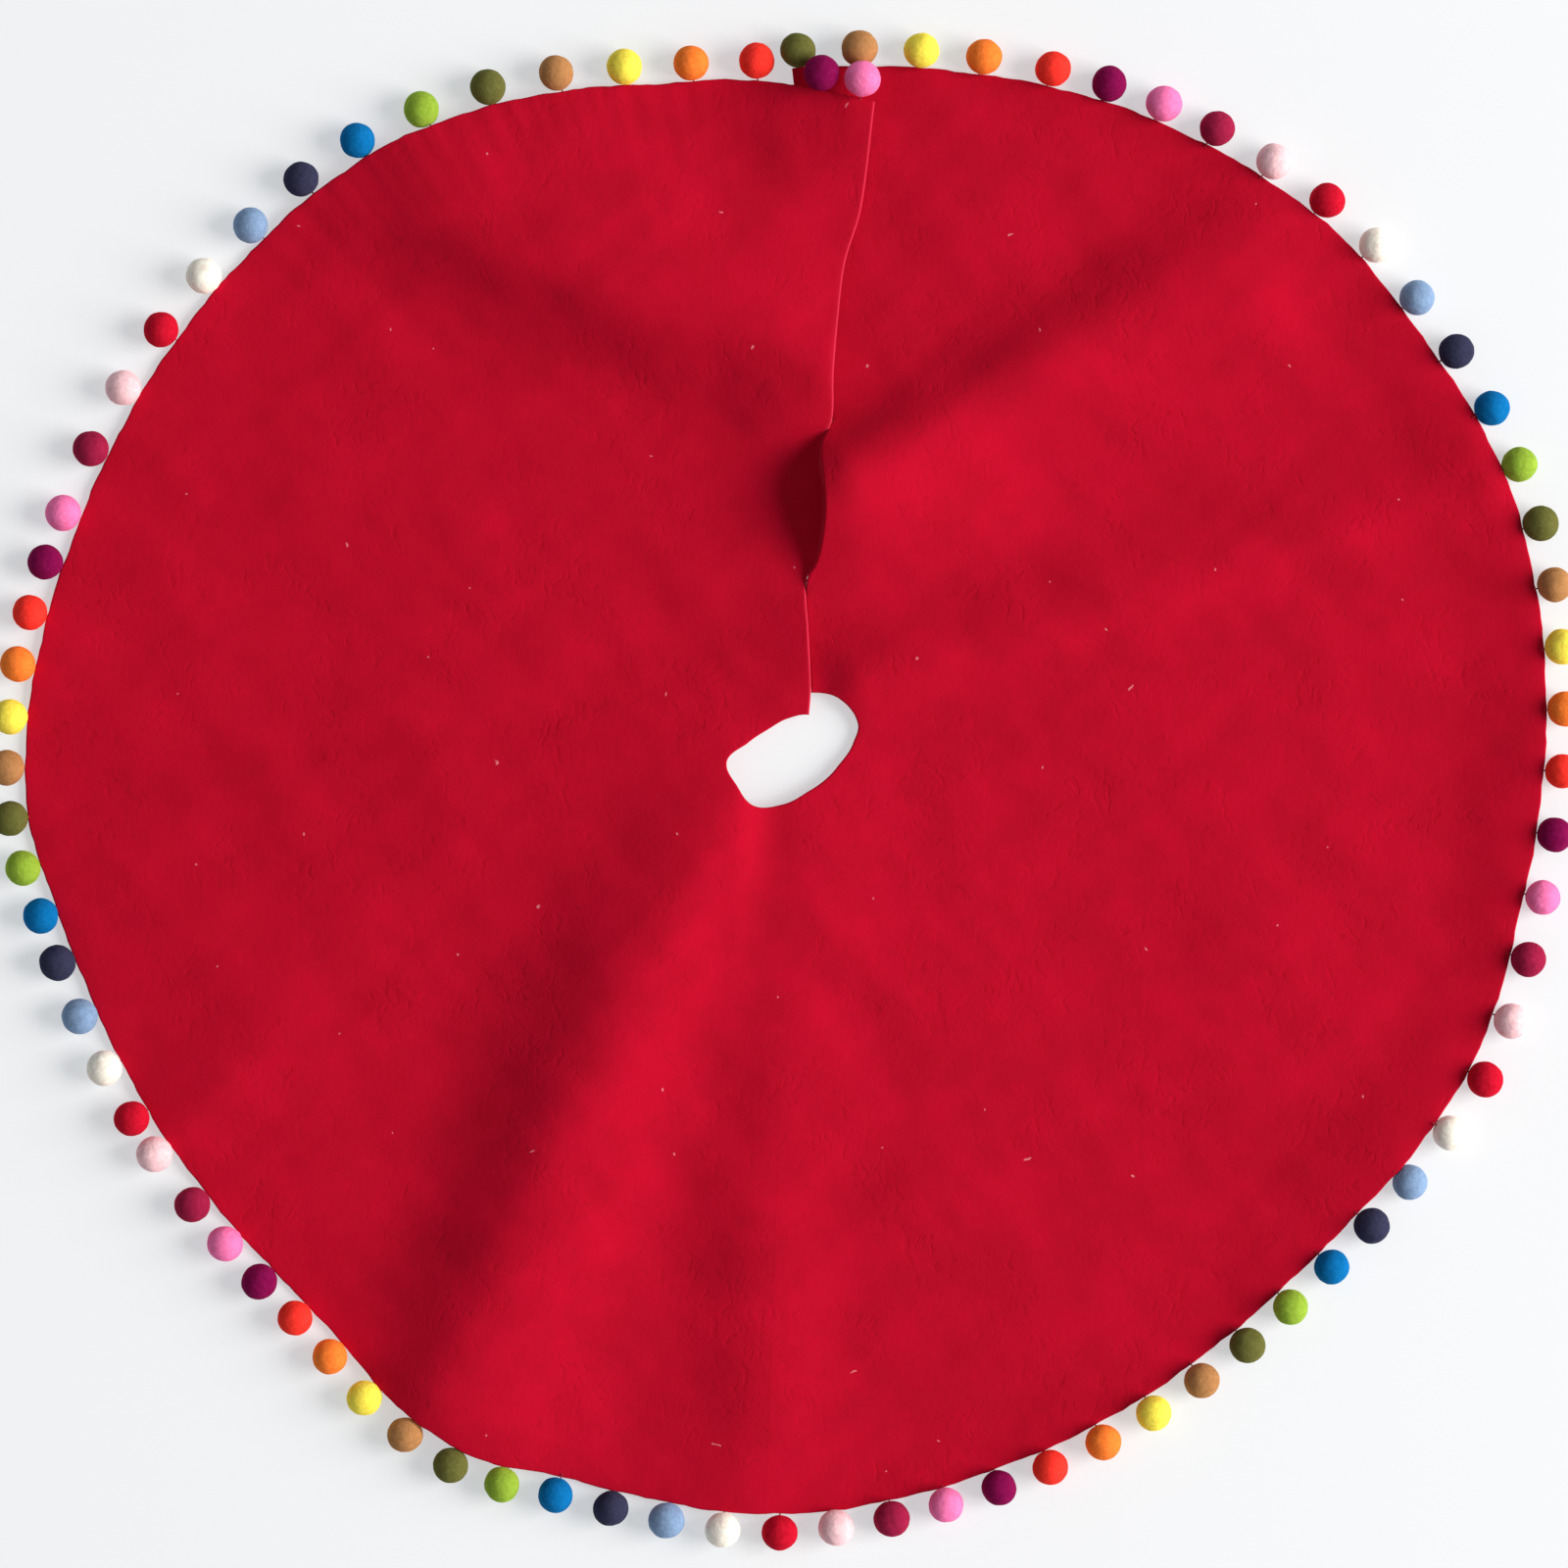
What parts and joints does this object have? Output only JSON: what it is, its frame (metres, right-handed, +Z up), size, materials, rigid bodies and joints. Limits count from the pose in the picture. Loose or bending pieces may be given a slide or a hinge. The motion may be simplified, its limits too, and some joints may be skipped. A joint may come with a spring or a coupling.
{
  "type": "tree skirt",
  "caption": "Round red wool felt tree skirt with a trunk hole and a slit, edged with multicoloured felt balls, lying with soft folds.",
  "frame": {"origin": "middle of the trunk hole, at floor level", "axes": "+Z up from the floor, +Y along the slit from the hole to the rim, +X to the right of the slit when it points away"},
  "size_m": [1.2873, 1.2275, 0.0459],
  "materials": {
    "skirt_felt": "wet-felted red wool, thick and matt, with short loose fibres and a faint mottle; cut edges unbound",
    "ball_pink": "pink wool ball, hand-rolled and matt, with a fine fuzz of fibres",
    "ball_purple": "purple wool ball, hand-rolled and matt, with a fine fuzz of fibres",
    "ball_red_orange": "red orange wool ball, hand-rolled and matt, with a fine fuzz of fibres",
    "ball_orange": "orange wool ball, hand-rolled and matt, with a fine fuzz of fibres",
    "ball_yellow": "yellow wool ball, hand-rolled and matt, with a fine fuzz of fibres",
    "ball_tan": "tan wool ball, hand-rolled and matt, with a fine fuzz of fibres",
    "ball_olive": "olive wool ball, hand-rolled and matt, with a fine fuzz of fibres",
    "ball_lime": "lime wool ball, hand-rolled and matt, with a fine fuzz of fibres",
    "ball_blue": "blue wool ball, hand-rolled and matt, with a fine fuzz of fibres",
    "ball_navy": "navy wool ball, hand-rolled and matt, with a fine fuzz of fibres",
    "ball_light_blue": "light blue wool ball, hand-rolled and matt, with a fine fuzz of fibres",
    "ball_cream": "cream wool ball, hand-rolled and matt, with a fine fuzz of fibres",
    "ball_red": "red wool ball, hand-rolled and matt, with a fine fuzz of fibres",
    "ball_light_pink": "light pink wool ball, hand-rolled and matt, with a fine fuzz of fibres",
    "ball_maroon": "maroon wool ball, hand-rolled and matt, with a fine fuzz of fibres",
    "thread": "red cotton sewing thread, matt, two strands"
  },
  "bodies": {
    "skirt": {"felt_body": "skirt_felt", "skirt_ball_stitches": "thread", "skirt_balls_blue": "ball_blue", "skirt_balls_cream": "ball_cream", "skirt_balls_light_blue": "ball_light_blue", "skirt_balls_light_pink": "ball_light_pink", "skirt_balls_lime": "ball_lime", "skirt_balls_maroon": "ball_maroon", "skirt_balls_navy": "ball_navy", "skirt_balls_olive": "ball_olive", "skirt_balls_orange": "ball_orange", "skirt_balls_pink": "ball_pink", "skirt_balls_purple": "ball_purple", "skirt_balls_red": "ball_red", "skirt_balls_red_orange": "ball_red_orange", "skirt_balls_tan": "ball_tan", "skirt_balls_yellow": "ball_yellow"},
    "upper_flap": {"felt_upper_flap": "skirt_felt", "upper_flap_ball_stitches": "thread", "upper_flap_balls_blue": "ball_blue", "upper_flap_balls_cream": "ball_cream", "upper_flap_balls_light_blue": "ball_light_blue", "upper_flap_balls_lime": "ball_lime", "upper_flap_balls_navy": "ball_navy", "upper_flap_balls_olive": "ball_olive", "upper_flap_balls_orange": "ball_orange", "upper_flap_balls_pink": "ball_pink", "upper_flap_balls_purple": "ball_purple", "upper_flap_balls_red": "ball_red", "upper_flap_balls_red_orange": "ball_red_orange", "upper_flap_balls_tan": "ball_tan", "upper_flap_balls_yellow": "ball_yellow"},
    "under_flap": {"felt_under_flap": "skirt_felt", "under_flap_ball_stitches": "thread", "under_flap_balls_cream": "ball_cream", "under_flap_balls_light_pink": "ball_light_pink", "under_flap_balls_maroon": "ball_maroon", "under_flap_balls_olive": "ball_olive", "under_flap_balls_orange": "ball_orange", "under_flap_balls_pink": "ball_pink", "under_flap_balls_purple": "ball_purple", "under_flap_balls_red": "ball_red", "under_flap_balls_red_orange": "ball_red_orange", "under_flap_balls_tan": "ball_tan", "under_flap_balls_yellow": "ball_yellow"}
  },
  "joints": [
    {"name": "upper_flap_fold", "type": "hinge", "parent": "skirt", "child": "upper_flap", "pos_m": [-0.0214, 0.0129, 0.0135], "axis": [0.8571, -0.515, 0.0106], "range_deg": [0, 85]},
    {"name": "under_flap_fold", "type": "hinge", "parent": "skirt", "child": "under_flap", "pos_m": [0.0471, 0.0372, 0.0184], "axis": [0.7848, 0.6198, -0.0044], "range_deg": [0, 46.75]}
  ],
  "couplings": [
    {"joint": "under_flap_fold", "follows": "upper_flap_fold", "ratio": 0.55}
  ]
}
